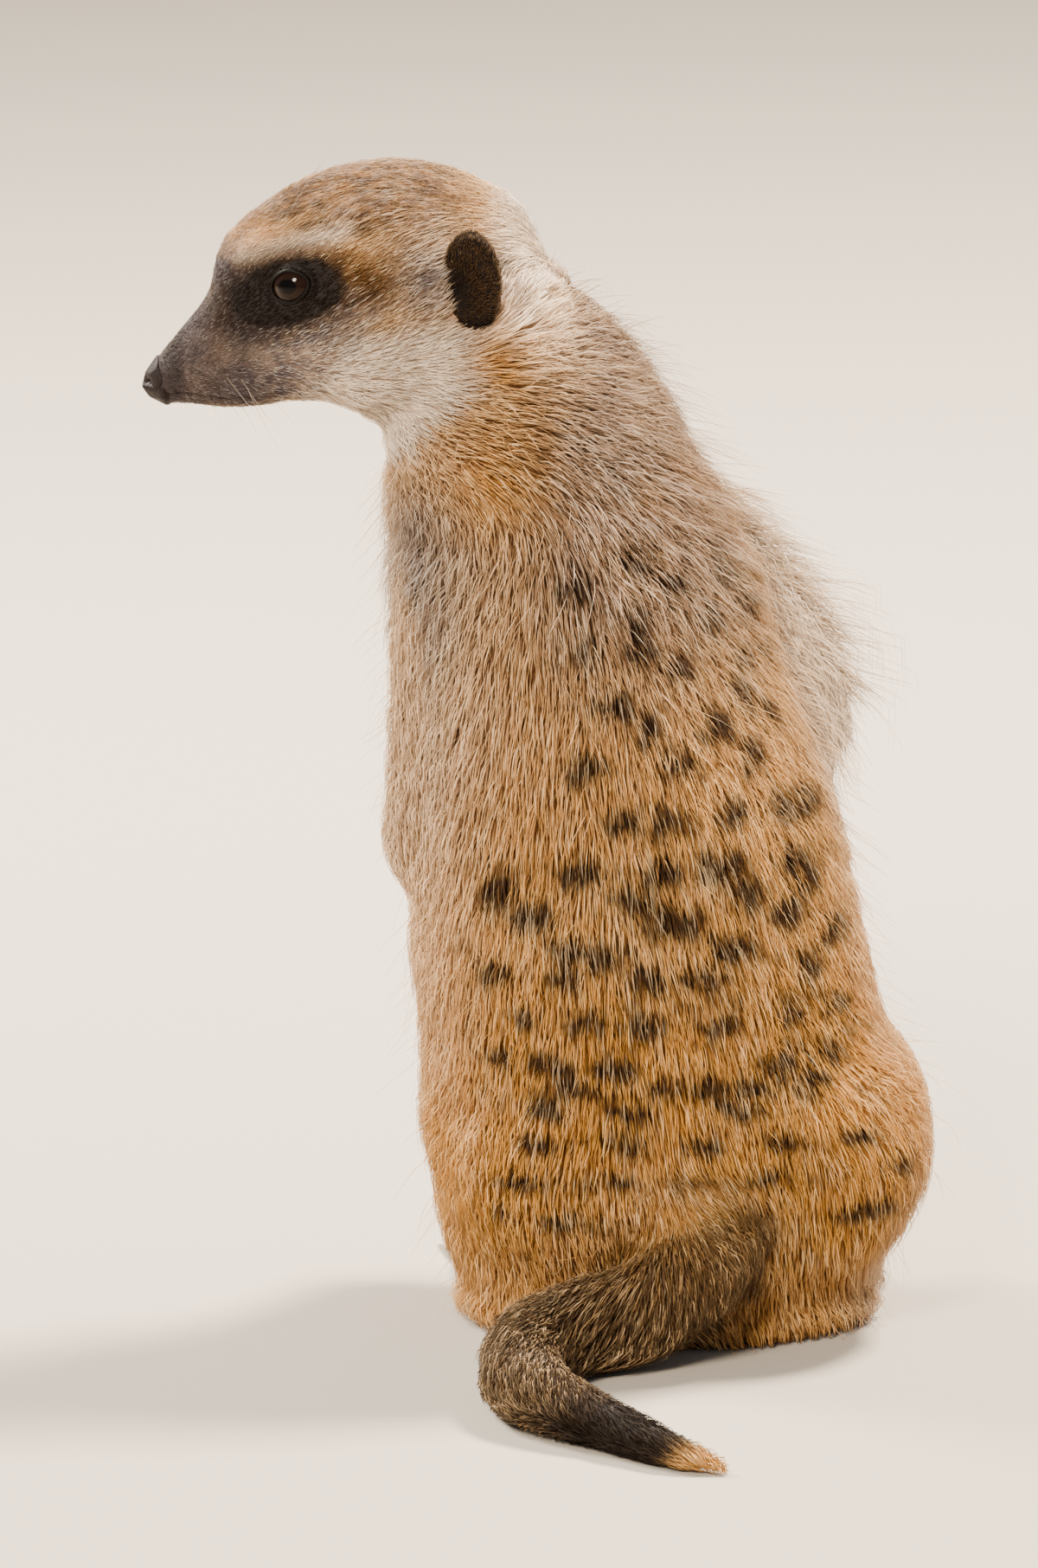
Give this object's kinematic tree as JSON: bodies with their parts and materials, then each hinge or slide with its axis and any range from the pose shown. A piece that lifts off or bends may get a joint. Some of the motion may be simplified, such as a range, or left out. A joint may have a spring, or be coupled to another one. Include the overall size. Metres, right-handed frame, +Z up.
{
  "type": "meerkat figure",
  "caption": "Life-size meerkat sitting upright on its rump, looking over its left shoulder, paws held before the belly and tail laid round on the floor.",
  "frame": {"origin": "on the flat under the rump, at floor level, in the middle plane of the pelvis", "axes": "+Z up, the pelvis faces -Y, the animal's left is +X"},
  "size_m": [0.1602, 0.223, 0.2383],
  "materials": {
    "coat": "matt fur",
    "tail_coat": "matt fur",
    "dark_coat": "short matt fur",
    "eyeball": "wet",
    "nose_skin": "moist leathery skin",
    "claw_horn": "satin horn"
  },
  "bodies": {
    "root": {"claw_fore_left_1": "claw_horn", "claw_fore_left_2": "claw_horn", "claw_fore_left_3": "claw_horn", "claw_fore_left_4": "claw_horn", "claw_fore_right_1": "claw_horn", "claw_fore_right_2": "claw_horn", "claw_fore_right_3": "claw_horn", "claw_fore_right_4": "claw_horn", "claw_hind_left_1": "claw_horn", "claw_hind_left_2": "claw_horn", "claw_hind_left_3": "claw_horn", "claw_hind_left_4": "claw_horn", "claw_hind_right_1": "claw_horn", "claw_hind_right_2": "claw_horn", "claw_hind_right_3": "claw_horn", "claw_hind_right_4": "claw_horn", "ear_left": "dark_coat", "ear_right": "dark_coat", "eye_left": "eyeball", "eye_right": "eyeball", "forearm_left": "coat", "forearm_right": "coat", "forepaw_left": "coat", "forepaw_right": "coat", "head": "coat", "hind_foot_left": "coat", "hind_foot_right": "coat", "neck": "coat", "nose": "nose_skin", "shank_left": "coat", "shank_right": "coat", "tail_middle": "tail_coat", "tail_root": "tail_coat", "tail_tip": "tail_coat", "thigh_left": "coat", "thigh_right": "coat", "trunk": "coat", "upper_arm_left": "coat", "upper_arm_right": "coat"}
  },
  "joints": []
}
